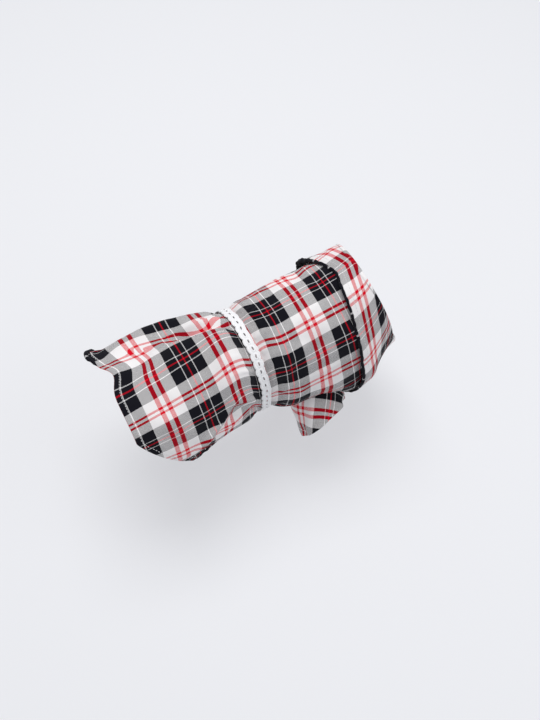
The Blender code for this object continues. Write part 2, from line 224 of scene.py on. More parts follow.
def section(reach, lean, top, depth, near, far, shape, turn):
    """Leaning section: an ellipse of power shape whose height runs down from the top by depth."""
    across = np.abs(np.sin(turn)) ** (2 / shape) * np.sign(np.sin(turn))
    upright = np.abs(np.cos(turn)) ** (2 / shape) * np.sign(np.cos(turn))
    width = np.where(across >= 0, near, far)
    down = depth / 2 * (1 - upright)
    return np.stack([reach + lean * down, -width * across, top - down], axis=-1)


def smooth_step(start, end, places):
    """0 before start and 1 after end, with a smooth cubic between."""
    t = np.clip((places - start) / (end - start), 0, 1)
    return t * t * (3 - 2 * t)


def fold_lift(folds, half_width, along, turn):
    """Height of the long folds: each is a bell curve across that grows and dies along its run."""
    lift = np.zeros(np.broadcast(along, turn).shape)
    for fold in folds:
        crest = np.radians(fold["waist"] + (fold["end_turn"] - fold["waist"]) * along)
        off = (turn - crest) * half_width / (fold["width"] * FOLD_WIDTH)
        grown = smooth_step(fold["start"], fold["full"], along)
        left = 1 - smooth_step(fold["full"], fold["end"], along)
        lift += fold["height"] * FOLD_HEIGHT * np.exp(-off ** 2) * grown * left
    return lift


def raise_face(face, lift, turn):
    """Move a face away from the body's axis by lift, across and upright only."""
    face[..., 1] -= lift * np.sin(turn)
    face[..., 2] += lift * np.cos(turn)
    return face


def bodice_face(along, turn):
    """Inner face of the bodice's wall: along 0 at the waist, 1 at the neck seam."""
    start = GAP / 2
    face = section(
        reach=start + along * (BODICE_LENGTH - start),
        lean=NECK_LEAN * along ** 2,
        top=BODICE_RISE * smooth_column(BODICE_SECTIONS, "top", along),
        depth=WAIST_DEPTH * smooth_column(BODICE_SECTIONS, "depth", along),
        near=WAIST_HALF_WIDTH * smooth_column(BODICE_SECTIONS, "near", along),
        far=WAIST_HALF_WIDTH * smooth_column(BODICE_SECTIONS, "far", along),
        shape=BODY_POWER,
        turn=turn,
    )
    return raise_face(face, fold_lift(BODICE_FOLDS, WAIST_HALF_WIDTH, along, turn), turn)


def skirt_face(along, turn):
    """Inner face of the skirt's wall: along 0 at the waist, 1 at the hem on the spine."""
    start = GAP / 2
    puff = SKIRT_PUFF * smooth_column(SKIRT_SECTIONS, "puff", along)
    drop = SKIRT_DROP * smooth_column(SKIRT_SECTIONS, "drop", along)
    spread = SKIRT_HALF_WIDTH - WAIST_HALF_WIDTH
    face = section(
        reach=-start - along * (SKIRT_LENGTH - start),
        lean=0.0,
        top=puff - drop,
        depth=WAIST_DEPTH + puff - drop
        + smooth_column(SKIRT_SECTIONS, "depth", along) * (SKIRT_DEPTH - WAIST_DEPTH),
        near=WAIST_HALF_WIDTH + smooth_column(SKIRT_SECTIONS, "near", along) * spread,
        far=WAIST_HALF_WIDTH + smooth_column(SKIRT_SECTIONS, "far", along) * spread,
        shape=BODY_POWER,
        turn=turn,
    )
    return raise_face(face, fold_lift(SKIRT_FOLDS, SKIRT_HALF_WIDTH, along, turn), turn)


def skirt_place(share, spread):
    """Place on the skirt's sections of a point of its panel, which keeps its width to the hem."""
    side = np.clip((np.abs(spread) - SIDE_CURVE_START) / (1 - SIDE_CURVE_START), 0, 1)
    cut_back = (1 - SKIRT_SIDE_LENGTH / SKIRT_LENGTH) * side ** SIDE_CURVE_POWER
    along = share * (1 - cut_back)
    return along, spread * (SKIRT_WAIST_TURN + (SKIRT_HEM_TURN - SKIRT_WAIST_TURN) * along)


def unit(vectors):
    """Vectors of length one."""
    return vectors / np.linalg.norm(vectors, axis=-1, keepdims=True)


def lengthwise(along, turn):
    """Unit direction on the bodice's inner face that runs toward the neck."""
    step = 1e-4
    middle = np.clip(along, step, 1 - step)
    return unit(bodice_face(middle + step, turn) - bodice_face(middle - step, turn))


def outward(along, turn):
    """Unit normal of the bodice's inner face that points away from the body."""
    step = 1e-4
    crosswise = bodice_face(along, turn + step) - bodice_face(along, turn - step)
    return unit(np.cross(crosswise, lengthwise(along, turn)))


def fold_loop(turn):
    """The crest of the collar's fold, a leaning ring round the neck."""
    return section(
        reach=FOLD_REACH,
        lean=FOLD_LEAN,
        top=FOLD_TOP,
        depth=FOLD_DEPTH,
        near=FOLD_NEAR_WIDTH,
        far=FOLD_FAR_WIDTH,
        shape=FOLD_POWER,
        turn=turn,
    )


def collar_edge_place(turn):
    """Where on the bodice's length the collar's outer edge lies, as a share of that length."""
    cover = COLLAR_COVER * smooth_column(COLLAR_FALL, "cover", np.abs(turn) / pi)
    return 1 - cover / BODICE_LENGTH


def collar_point(place, turn):
    """Face of the collar: place 0 to 1 is the stand, 1 to 2 the turn-over and 2 to 3 the fall.

    Stand and fall are quadratic curves and the turn-over a half circle. The fall keeps a clearance
    over the bodice's outer face.
    """
    end = np.ones_like(turn)
    away = outward(end, turn)
    seam = bodice_face(end, turn) + CLOTH * away
    crest = fold_loop(turn)
    ahead = lengthwise(end, turn)
    stand_bend = seam + STAND_BEND * np.linalg.norm(crest - seam, axis=-1, keepdims=True) * ahead
    seam = seam + GAP * ahead
    forward = unit(crest - stand_bend)
    beside = unit(away - forward * np.sum(away * forward, axis=-1, keepdims=True))
    centre = crest - FOLD_RADIUS * forward
    stand_top = centre - FOLD_RADIUS * beside

    def rolled(angle):
        return centre + FOLD_RADIUS * (np.sin(angle) * forward - np.cos(angle) * beside)

    edge_place = collar_edge_place(turn)
    lift = CLOTH + COLLAR_CLEARANCE
    edge = bodice_face(edge_place, turn) + lift * outward(edge_place, turn)
    over = seam + FALL_SPRING * away
    t = np.clip(place - 2, 0, 1)[..., None]
    fall = (1 - t) ** 2 * rolled(pi) + 2 * t * (1 - t) * over + t ** 2 * edge
    past_seam = np.clip((t[..., 0] - FALL_AHEAD) / (1 - FALL_AHEAD), 0, 1)
    under_place = 1 - (1 - edge_place) * past_seam
    under = bodice_face(under_place, turn)
    up = outward(under_place, turn)
    height = np.sum((fall - under) * up, axis=-1, keepdims=True)
    fall = fall + np.maximum(lift - height, 0) * up
    climb = np.clip(place, 0, 1)[..., None]
    stand = (1 - climb) ** 2 * seam + 2 * climb * (1 - climb) * stand_bend + climb ** 2 * stand_top
    turn_over = rolled(pi * np.clip(place - 1, 0, 1)[..., None])
    which = place[..., None]
    return np.where(which <= 1, stand, np.where(which <= 2, turn_over, fall))


def grid_normals(points, closed):
    """Unit normals of a grid: the cross of its differences along the columns and the rows."""
    down = np.gradient(points, axis=0)
    if closed:
        round_about = np.roll(points, -1, axis=1) - np.roll(points, 1, axis=1)
    else:
        round_about = np.gradient(points, axis=1)
    return unit(np.cross(round_about, down))


def arc_along(points, axis, origin=0):
    """Length of the grid's lines along one axis, counted from the given index."""
    steps = np.linalg.norm(np.diff(points, axis=axis), axis=-1)
    lengths = np.cumsum(steps, axis=axis)
    zero = np.zeros_like(np.take(lengths, [0], axis=axis))
    lengths = np.concatenate([zero, lengths], axis=axis)
    return lengths - np.take(lengths, [origin], axis=axis)


def undulation(first, second, seed, height, shortest, longest, waves=18):
    """Soft unevenness: a sum of sine waves with seeded directions, lengths and phases."""
    draw = np.random.default_rng(seed)
    length = shortest * (longest / shortest) ** draw.random(waves)
    heading = draw.random(waves) * 2 * pi
    phase = draw.random(waves) * 2 * pi
    total = np.zeros(np.broadcast(first, second).shape)
    for size, angle, start in zip(length, heading, phase):
        total += size * np.sin(2 * pi * (first * np.cos(angle) + second * np.sin(angle)) / size + start)
    return height * total / total.std()


def crease_lift(creases, lengthwise_arc, crosswise_arc):
    """Height of short creases: each is a bell curve across a straight line, tapered to its ends."""
    lift = np.zeros(lengthwise_arc.shape)
    for start, end, width, height, steep in creases:
        start = np.array(start) / 1000
        run = np.array(end) / 1000 - start
        length = np.hypot(*run)
        first = lengthwise_arc - start[0]
        second = crosswise_arc - start[1]
        t = (first * run[0] + second * run[1]) / length ** 2
        off = (second * run[0] - first * run[1]) / length * np.sign(run[0])
        outer = off * np.sign(start[1] + 1e-9) > 0
        spread = width / 1000 * np.where(outer, 1 - steep, 1.0)
        taper = np.clip(4 * t * (1 - t), 0, 1) ** 0.7
        lift += height / 1000 * np.exp(-(off / spread) ** 2) * taper
    return lift


def gathers(crosswise_arc, down, seed, pitch, height, start, full, end):
    """Gathers that a drawn edge makes: uneven waves across, grown from start and dead at end."""
    draw = np.random.default_rng(seed)
    phase = 2 * pi * crosswise_arc / pitch
    for part in (5, 3, 2):
        phase = phase + 0.9 * np.sin(2 * pi * crosswise_arc / (part * pitch) + draw.random() * 6)
    lift = height * (0.5 - 0.5 * np.cos(phase)) * smooth_step(start, full, down)
    return lift * (1 - smooth_step(full, end, down))


def hem_lift(distance):
    """Rise of a turned hem: two layers up to its width, with a dip at the line of stitches."""
    layer = HEM_RISE * (1 - smooth_step(HEM_WIDTH, HEM_WIDTH + HEM_STEP, distance))
    dip = STITCH_DIP * np.exp(-((distance - HEM_WIDTH + STITCH_INSET) / STITCH_DIP_WIDTH) ** 2)
    return layer - dip


def lay_map(mesh, corner_uv):
    """Give a mesh the cloth's own map, one place on the cloth for each corner of its faces."""
    layer = mesh.uv_layers.new(name="cloth")
    layer.data.foreach_set("uv", np.ascontiguousarray(corner_uv, dtype=np.float32).reshape(-1))


def add_piece(name, mesh, material):
    """Show a mesh as a piece of the dress."""
    mesh.update()
    mesh.shade_smooth()
    mesh.materials.append(material)
    piece = bpy.data.objects.new(name, mesh)
    bpy.context.scene.collection.objects.link(piece)
    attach(piece, "root")
    return piece


def make_piece(name, points, uv, closed=False, flip=False, keep=None):
    """Plaid cloth from a grid of points: rows lengthwise, columns round, with its own map."""
    rows, columns = points.shape[:2]
    index = np.arange(rows * columns).reshape(rows, columns)
    columns_of_faces = columns if closed else columns - 1
    left = index[:, :columns_of_faces]
    right = np.roll(index, -1, axis=1)[:, :columns_of_faces]
    quads = np.stack([left[:-1], right[:-1], right[1:], left[1:]], axis=-1)
    uv_left = uv[:, :columns_of_faces]
    uv_right = uv[:, 1:]
    corner_uv = np.stack([uv_left[:-1], uv_right[:-1], uv_right[1:], uv_left[1:]], axis=2)
    quads = quads.reshape(-1, 4)
    corner_uv = corner_uv.reshape(-1, 4, 2)
    if keep is not None:
        quads = quads[keep.reshape(-1)]
        corner_uv = corner_uv[keep.reshape(-1)]
    if flip:
        quads = quads[:, ::-1]
        corner_uv = corner_uv[:, ::-1]
    used, quads_used = np.unique(quads, return_inverse=True)
    mesh = bpy.data.meshes.new(name)
    mesh.from_pydata(points.reshape(-1, 3)[used].tolist(), [], quads_used.reshape(-1, 4).tolist())
    lay_map(mesh, corner_uv)
    return add_piece(name, mesh, plaid)


def wall(piece, thickness):
    """Give a sheet its thickness, half on each side of its grid."""
    solid = piece.modifiers.new("thickness", "SOLIDIFY")
    solid.thickness = thickness
    solid.offset = 0
    solid.use_even_offset = False
    solid.use_quality_normals = True


def edge_roll(name, line, normals, radius):
    """Cloth rolled up along an edge, held in the plaid's black band both ways: its solid black is partly
    the cloth's black band and partly painted shade under the edge.

    It is a round bar of changing radius, with uneven ridges that wind round it.
    """
    angle = np.linspace(0, 2 * pi, ROLL_STEPS + 1)
    arc = arc_along(line, 0)
    ahead = unit(np.gradient(line, axis=0))
    side = unit(np.cross(normals, ahead))
    up = np.cross(ahead, side)
    ring = side[:, None] * np.cos(angle)[:, None] + up[:, None] * np.sin(angle)[:, None]
    ridges = 0.0
    for turns, run in ROLL_RIDGES:
        ridges = ridges + np.sin(arc[:, None] / run + turns * angle)
    uneven = radius[:, None] * (1 + ROLL_CRUMPLE * ridges)
    points = line[:, None] + uneven[..., None] * ring
    # The map stays in the black band lengthwise and crosswise, so the roll stays black where a white band
    # crosses: painted shade under the edge over the cloth's black.
    first = ROLL_BLACK_AND_SHADE_ALONG + ROLL_DRIFT * np.sin(angle) + 0 * arc[:, None]
    second = ROLL_BLACK_AND_SHADE_ACROSS + BLACK_DRIFT * np.sin(arc / BLACK_RUN)[:, None] + 0 * angle
    uv = np.stack([first, second], axis=-1)
    piece = make_piece(name, points[:, :-1], uv, closed=True)
    weld(piece)
    return piece


def stitches(name, line, normals):
    """A row of stitches along a line of points: each is a small capsule, 6 round and 5 long."""
    arc = arc_along(line, 0)
    pitch = STITCH + STITCH_GAP
    count = int(arc[-1] // pitch)
    starts = (np.arange(count) + 0.2) * pitch
    t = np.array([0.0, 0.12, 0.5, 0.88, 1.0])
    girth = np.array([0.35, 0.9, 1.0, 0.9, 0.35])
    sink = np.array([-0.6, 0.2, 0.55, 0.2, -0.6])
    at = starts[:, None] + t * STITCH
    centre = np.stack([np.interp(at, arc, line[:, k]) for k in range(3)], axis=-1)
    up = unit(np.stack([np.interp(at, arc, normals[:, k]) for k in range(3)], axis=-1))
    ahead = unit(np.gradient(centre, axis=1))
    side = unit(np.cross(up, ahead))
    centre = centre + up * (sink * THREAD)[None, :, None]
    angle = np.arange(6) * pi / 3
    ring = (
        side[:, :, None] * np.cos(angle)[None, None, :, None]
        + up[:, :, None] * np.sin(angle)[None, None, :, None]
    )
    points = centre[:, :, None] + ring * (girth * THREAD)[None, :, None, None]
    cell = np.arange(5 * 6).reshape(5, 6)
    around = np.roll(cell, -1, axis=1)
    quads = np.stack([cell[:-1], around[:-1], around[1:], cell[1:]], axis=-1).reshape(-1, 4)
    caps = np.array([[0, 5, 4, 3], [0, 3, 2, 1], [24, 25, 26, 27], [24, 27, 28, 29]])
    quads = np.concatenate([quads, caps])
    faces = (quads[None] + (np.arange(count) * 30)[:, None, None]).reshape(-1, 4)
    mesh = bpy.data.meshes.new(name)
    mesh.from_pydata(points.reshape(-1, 3).tolist(), [], faces.tolist())
    return add_piece(name, mesh, white_thread)


def hem_stitches(name, points, normals, from_edge, from_front, sheet):
    """The stitches of a turned hem, in the dip at the hem's width, on top of the sheet."""
    row = np.argmin(np.abs(from_edge - HEM_WIDTH + STITCH_INSET), axis=0)
    inner = from_front[-1] > HEM_WIDTH
    columns = np.arange(points.shape[1])[inner]
    line = points[row[inner], columns]
    up = normals[row[inner], columns]
    return stitches(name, line + up * sheet / 2, up)


# Materials

WHITE_YARN = (0.87, 0.855, 0.855, 1)
BLACK_YARN = (0.006, 0.006, 0.009, 1)
RED_YARN = (0.67, 0.010, 0.024, 1)
THIN_WHITE_YARN = (0.85, 0.84, 0.84, 1)
THREADS_IN_REPEAT = 76
PINK_DEPTH = 1.35
TWILL_DEPTH = 0.36
SATIN_PITCH = 0.00055

# Yarns from the middle of the white band out: place in repeats where each starts
BANDS_ALONG = (
    (0.0, WHITE_YARN),
    (0.0280, RED_YARN),
    (0.0870, WHITE_YARN),
    (0.2475, BLACK_YARN),
    (0.4060, THIN_WHITE_YARN),
    (0.4190, BLACK_YARN),
    (0.4890, RED_YARN),
)
BANDS_ACROSS = (
    (0.0, WHITE_YARN),
    (0.0240, RED_YARN),
    (0.0680, WHITE_YARN),
    (0.2375, BLACK_YARN),
    (0.4225, THIN_WHITE_YARN),
    (0.4355, BLACK_YARN),
    (0.4900, RED_YARN),
)


class Nodes:
    """Short calls for building a material's nodes."""

    def __init__(self, name):
        self.material = bpy.data.materials.new(name)
        self.material.use_nodes = True
        self.tree = self.material.node_tree
        self.shader = self.tree.nodes["Principled BSDF"]

    def add(self, kind, **settings):
        """A node with its settings."""
        node = self.tree.nodes.new(kind)
        for key, value in settings.items():
            setattr(node, key, value)
        return node

    def link(self, source, target):
        """Join an output to an input."""
        self.tree.links.new(source, target)

    def feed(self, sockets, values):
        """Set inputs to numbers and colours, or join them to outputs."""
        for socket, value in zip(sockets, values):
            if hasattr(value, "links"):
                self.link(value, socket)
            else:
                socket.default_value = value

    def surface(self, values):
        """Set constants on the shader's own sockets, by their names."""
        for name, value in values.items():
            self.shader.inputs[name].default_value = value

    def math(self, operation, first, second=0.0, third=0.0):
        """One math node on numbers or outputs."""
        node = self.add("ShaderNodeMath", operation=operation)
        self.feed(node.inputs, (first, second, third))
        return node.outputs[0]

    def mix(self, blend, factor, first, second):
        """One colour mix node."""
        node = self.add("ShaderNodeMix", data_type="RGBA", blend_type=blend)
        self.feed((node.inputs[0], node.inputs[6], node.inputs[7]), (factor, first, second))
        return node.outputs[2]

    def noise(self, place, scale, detail):
        """Soft random unevenness over a place."""
        node = self.add("ShaderNodeTexNoise")
        node.inputs["Scale"].default_value = scale
        node.inputs["Detail"].default_value = detail
        self.link(place, node.inputs["Vector"])
        return node.outputs[0]

    def bump(self, height, strength, distance):
        """Fine relief on the shader's normal."""
        node = self.add("ShaderNodeBump")
        node.inputs["Strength"].default_value = strength
        node.inputs["Distance"].default_value = distance
        self.link(height, node.inputs["Height"])
        self.link(node.outputs[0], self.shader.inputs["Normal"])

    def cloth_map(self):
        """The cloth's own map: the place, and its lengthwise and crosswise parts."""
        place = self.add("ShaderNodeUVMap", uv_map="cloth").outputs[0]
        parts = self.add("ShaderNodeSeparateXYZ")
        self.link(place, parts.inputs[0])
        return place, parts.outputs[0], parts.outputs[1]


def yarn_colour(nodes, coordinate, bands):
    """Colour of the yarns in one direction: bands by the distance from the white band's middle."""
    shifted = nodes.math("ADD", coordinate, 0.5)
    inside = nodes.math("SUBTRACT", nodes.math("FRACT", shifted), 0.5)
    doubled = nodes.math("MULTIPLY", nodes.math("ABSOLUTE", inside), 2.0)
    ramp = nodes.add("ShaderNodeValToRGB")
    ramp.color_ramp.interpolation = "CONSTANT"
    elements = ramp.color_ramp.elements
    elements[0].position = 0.0
    elements[0].color = bands[0][1]
    elements[1].position = 2 * bands[1][0]
    elements[1].color = bands[1][1]
    for place, colour in bands[2:]:
        element = elements.new(2 * place)
        element.color = colour
    nodes.link(doubled, ramp.inputs[0])
    return ramp.outputs[0]


def plaid_material(name):
    """Twill tartan: warp and weft yarns by the cloth's own map, mixed thread by thread.

    Where two yarns cross, the eye sees their mean, split into diagonal twill lines that also raise
    the bump. Red over white looks deeper than the mean, so the mixture's saturation is raised.
    """
    nodes = Nodes(name)
    place, lengthwise_part, crosswise_part = nodes.cloth_map()
    noise = nodes.noise(place, 60.0, 3.0)
    waver = nodes.math("MULTIPLY", nodes.math("SUBTRACT", noise, 0.5), 0.010)
    weft = yarn_colour(nodes, nodes.math("ADD", lengthwise_part, waver), BANDS_ALONG)
    warp = yarn_colour(nodes, nodes.math("ADD", crosswise_part, waver), BANDS_ACROSS)
    diagonal = nodes.math("ADD", lengthwise_part, crosswise_part)
    wave = nodes.math("SINE", nodes.math("MULTIPLY", diagonal, 2 * pi * THREADS_IN_REPEAT))
    plain = nodes.mix("MIX", nodes.math("MULTIPLY_ADD", wave, TWILL_DEPTH, 0.5), warp, weft)
    deep = nodes.add("ShaderNodeHueSaturation")
    deep.inputs["Saturation"].default_value = PINK_DEPTH
    nodes.link(plain, deep.inputs["Color"])
    blotch = nodes.noise(place, 2.2, 6.0)
    fibre = nodes.noise(place, 150.0, 2.0)
    shade = nodes.math("MULTIPLY_ADD", blotch, 0.14, 0.90)
    shade = nodes.math("MULTIPLY_ADD", nodes.math("SUBTRACT", fibre, 0.5), 0.30, shade)
    grey = nodes.add("ShaderNodeCombineColor")
    nodes.feed(grey.inputs, (shade, shade, shade))
    shaded = nodes.mix("MULTIPLY", 1.0, deep.outputs[0], grey.outputs[0])
    nodes.link(shaded, nodes.shader.inputs["Base Color"])
    relief = nodes.math("MULTIPLY_ADD", fibre, 1.2, nodes.math("MULTIPLY", wave, 0.5))
    nodes.bump(relief, 0.45, 0.00025)
    nodes.surface({
        "Roughness": 0.9, "Sheen Weight": 0.05, "Sheen Roughness": 0.5, "Specular IOR Level": 0.12,
    })
    return nodes.material


def thread_material(name, colour):
    """Sewing thread of one colour with a little unevenness."""
    nodes = Nodes(name)
    place = nodes.add("ShaderNodeTexCoord").outputs["Object"]
    dark = tuple(0.7 * part for part in colour)
    tint = nodes.mix("MIX", nodes.noise(place, 900.0, 2.0), (*dark, 1), (*colour, 1))
    nodes.link(tint, nodes.shader.inputs["Base Color"])
    nodes.surface({"Roughness": 0.7})
    return nodes.material


def lace_material(name):
    """White cotton embroidery: satin threads across the band, by its own map."""
    nodes = Nodes(name)
    place, _, round_part = nodes.cloth_map()
    noise = nodes.noise(place, 900.0, 3.0)
    thread = nodes.math("SINE", nodes.math("MULTIPLY", round_part, 2 * pi / SATIN_PITCH))
    tint = nodes.math("MULTIPLY_ADD", noise, 0.16, 0.80)
    shade = nodes.math("MULTIPLY_ADD", thread, 0.03, tint)
    colour = nodes.add("ShaderNodeCombineColor")
    nodes.feed(colour.inputs, (shade, shade, nodes.math("MULTIPLY", shade, 1.015)))
    nodes.link(colour.outputs[0], nodes.shader.inputs["Base Color"])
    nodes.bump(nodes.math("MULTIPLY_ADD", thread, 0.5, noise), 0.5, 0.0002)
    nodes.surface({"Roughness": 0.8, "Sheen Weight": 0.1})
    return nodes.material


plaid = plaid_material("plaid_cotton")
white_thread = thread_material("white_thread", (0.80, 0.79, 0.80))
lace_cotton = lace_material("cotton_lace")


# Bodice

WAIST_DRAW = 0.0078
FLANK_DRAW = 0.7
SHOULDER_SAG = 0.0065
SHOULDER_SAG_AT = 0.082
SHOULDER_SAG_WIDTH = 0.012
BACK_SHIFT = 0.0026
ARMHOLE_RING = 0.06375


def rows_and_turns(grid):
    """Even shares of the length by even turns all the way round, the belly's seam at the ends."""
    along = np.linspace(0, 1, grid[0] + 1)
    turn = np.linspace(-pi, pi, grid[1] + 1)
    return np.meshgrid(along, turn, indexing="ij")


def armhole_places(along, turn, side):
    """Vertices near one armhole drawn onto its edge, and which of them lie inside it."""
    half = WAIST_HALF_WIDTH * smooth_column(BODICE_SECTIONS, "near", ARMHOLE_REACH / BODICE_LENGTH)
    first = along * BODICE_LENGTH - ARMHOLE_REACH
    second = (side * turn - ARMHOLE_TURN) * half
    distance = np.hypot(first, second)
    inside = distance < ARMHOLE_RADIUS
    scale = ARMHOLE_RADIUS / np.maximum(distance, 1e-6)
    moved_along = (ARMHOLE_REACH + first * scale) / BODICE_LENGTH
    moved_turn = side * (ARMHOLE_TURN + second * scale / half)
    return np.where(inside, moved_along, along), np.where(inside, moved_turn, turn), inside


def bodice_map(down, across):
    """The bodice's cloth map, in repeats.

    At the waist the cloth is drawn toward the far side, most of all on the near flank. At the far
    shoulder it sags in a wrinkle, and off the near flank it sits a little further from the waist.
    """
    drawn = WAIST_DRAW * (1 - smooth_step(0.008, 0.034, down))
    drawn *= 1 + FLANK_DRAW * smooth_step(0.060, 0.090, across)
    sag = SHOULDER_SAG * np.exp(-((down - SHOULDER_SAG_AT) / SHOULDER_SAG_WIDTH) ** 2)
    sag *= smooth_step(0.010, 0.020, -across)
    further = BACK_SHIFT * (1 - smooth_step(0.010, 0.100, across))
    lengthwise_map = BODICE_PLAID_START + (down - further - PLAID_START_ARC) / REPEAT
    crosswise_map = SPINE_PLAID + (across + drawn - sag) / REPEAT
    return np.stack([lengthwise_map, crosswise_map], axis=-1)


def bodice_surface():
    """Grid of the bodice's sheet, its map and its kept faces.

    Points are the middle of the solid's wall, raised along the normal by gathers, creases and a
    soft unevenness. Faces whose four corners lie in an armhole are left out.
    """
    along, turn = rows_and_turns(BODICE_GRID)
    hole = np.zeros(along.shape, bool)
    for side in (1, -1):
        along, turn, inside = armhole_places(along, turn, side)
        hole |= inside
    base = bodice_face(along, turn)
    flat_along, flat_turn = rows_and_turns(BODICE_GRID)
    flat = bodice_face(flat_along, flat_turn)
    spine = BODICE_GRID[1] // 2
    down = arc_along(flat[:, [spine]], 0) + 0 * flat_along
    across = arc_along(flat, 1, spine)
    shift_down = (along - flat_along) * BODICE_LENGTH
    shift_across = (turn - flat_turn) * ARMHOLE_RING
    down = down + shift_down
    across = across + shift_across
    lift = gathers(across, down, 11, 0.0115, 0.0011, 0.0055, 0.010, 0.034)
    lift += crease_lift(BODICE_CREASES, down, across)
    lift += undulation(down, across, 5, 0.0006, 0.012, 0.05) * smooth_step(0.004, 0.02, down)
    lift *= smooth_step(0.0, 0.006, BODICE_LENGTH - down) * 0.9 + 0.1
    points = base + (CLOTH / 2 + lift)[..., None] * outward(along, turn)
    corner_inside = hole[:-1, :-1] & hole[:-1, 1:] & hole[1:, 1:] & hole[1:, :-1]
    return points, bodice_map(down, across), ~corner_inside


def make_bodice():
    """The bodice as one sheet, open at waist, neck and armholes, sewn shut at the belly."""
    points, uv, keep = bodice_surface()
    points[:, -1] = points[:, 0]
    piece = make_piece("bodice_cloth", points, uv, keep=keep)
    weld(piece)
    wall(piece, SHEET)
    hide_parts("bodice")
    return piece


def weld(piece):
    """Join the vertices that meet, such as along a closed seam."""
    mesh = bmesh.new()
    mesh.from_mesh(piece.data)
    bmesh.ops.remove_doubles(mesh, verts=mesh.verts, dist=1e-6)
    mesh.to_mesh(piece.data)
    mesh.free()


# Skirt

# Pulls of the hem toward the waist and away from it, and the curl of the far tip
SKIRT_PULL = 0.009
SKIRT_PULL_AT = -0.016
SKIRT_PULL_WIDTH = 0.016
SKIRT_PULL_FROM = 0.07
TIP_REACH = 0.004
TIP_AT = -0.060
TIP_WIDTH = 0.013
TIP_FROM = 0.10
TIP_CURL = 0.004
TIP_CURL_WIDTH = 0.014
TIP_ROLL = 0.0022
TIP_ROLL_REACH = 0.0208
CORNER_ROLL = 0.0018
CORNER_ROLL_LENGTH = 0.030

# Plaid of the skirt: slant on the near half, cloth that the far tuck swallows, fold of the near side
SKIRT_GRAIN = 0.982
SKIRT_STRETCH = 0.72
SLANT_AT = 0.027
SLANT_WIDTH = 0.029
SLANT_AT_WAIST = 0.0017
SLANT_GAIN = 0.082
TUCK_AT_WAIST = -0.0033
TUCK_RUN = -0.37
TUCK_DEPTH = 0.017
TUCK_NEAR_WIDTH = 0.007
TUCK_FAR_WIDTH = 0.025
RIDGE_BULGE = 0.008
RIDGE_BULGE_AT = 0.102
RIDGE_BULGE_WIDTH = 0.026
NEAR_FOLD_AT = (0.042, 0.069)
NEAR_FOLD_RUN = 0.6
NEAR_FOLD_SHIFT = 0.016


def skirt_map(down, across):
    """The skirt's cloth map, in repeats.

    The cloth stretches toward the hem and slants on the near half. Beyond the tuck on the far side,
    the part that the tuck swallows is skipped. Past the near fold it lies nearer the hem.
    """
    slant = SLANT_AT_WAIST + SLANT_GAIN * down
    aside = slant * np.exp(-((across - SLANT_AT) / SLANT_WIDTH) ** 2)
    off_tuck = across - (TUCK_AT_WAIST + TUCK_RUN * down)
    width = np.where(off_tuck > 0, TUCK_NEAR_WIDTH, TUCK_FAR_WIDTH)
    swallowed = TUCK_DEPTH * (1 - smooth_step(0.030, 0.075, down))
    swallowed -= RIDGE_BULGE * np.exp(-((down - RIDGE_BULGE_AT) / RIDGE_BULGE_WIDTH) ** 2)
    aside += swallowed * np.exp(-(off_tuck / width) ** 2)
    fold_down, fold_across = NEAR_FOLD_AT
    fold_line = fold_across + NEAR_FOLD_RUN * np.abs(down - fold_down)
    past_fold = NEAR_FOLD_SHIFT * smooth_step(0.001, 0.009, across - fold_line)
    grain = down * (SKIRT_GRAIN - SKIRT_STRETCH * down) - past_fold
    lengthwise_map = SKIRT_PLAID_START - grain / REPEAT
    crosswise_map = SPINE_PLAID + (across - aside) / REPEAT
    return np.stack([lengthwise_map, crosswise_map], axis=-1)


def skirt_surface():
    """Grid of the skirt's sheet, its map, and the distances from its hem and side edges.

    Points are the middle of the solid's wall, raised by gathers, creases, hems and unevenness. Over
    the tail the hem is drawn toward the waist, and on the far side it runs out into a curled tip.
    """
    share = np.linspace(0, 1, SKIRT_GRID[0] + 1) ** 0.96
    spread = np.linspace(-1, 1, SKIRT_GRID[1] + 1)
    share, spread = np.meshgrid(share, spread, indexing="ij")
    along, turn = skirt_place(share, spread)
    base = skirt_face(along, turn)
    spine = SKIRT_GRID[1] // 2
    whole_along, whole_turn = skirt_place(share, 0 * spread)
    back = arc_along(skirt_face(whole_along, whole_turn)[:, [spine]], 0)[:, 0]
    down = np.interp(along, share[:, spine], back)
    across = arc_along(base, 1, spine)
    from_hem = arc_along(base[::-1], 0)[::-1]
    from_side = np.minimum(arc_along(base, 1), arc_along(base[:, ::-1], 1)[:, ::-1])
    lift = gathers(across, down, 12, 0.0125, 0.0010, 0.0045, 0.010, 0.050)
    lift += crease_lift(SKIRT_CREASES, down, across)
    lift += undulation(down, across, 8, 0.0006, 0.018, 0.08) * smooth_step(0.004, 0.02, down)
    lift += hem_lift(from_hem) + hem_lift(from_side)
    at_tip = np.exp(-((across - TIP_AT) / TIP_WIDTH) ** 2)
    lift += TIP_CURL * at_tip * (1 - smooth_step(0, TIP_CURL_WIDTH, from_hem))
    normals = -grid_normals(base, False)
    points = base + (CLOTH / 2 + lift)[..., None] * normals
    pull = np.exp(-((across - SKIRT_PULL_AT) / SKIRT_PULL_WIDTH) ** 2)
    pull = SKIRT_PULL * pull * smooth_step(SKIRT_PULL_FROM, SKIRT_LENGTH, down)
    reach = TIP_REACH * at_tip * smooth_step(TIP_FROM, SKIRT_LENGTH, down)
    points[..., 0] += pull - reach
    return points, skirt_map(down, across), normals, from_hem, from_side, across


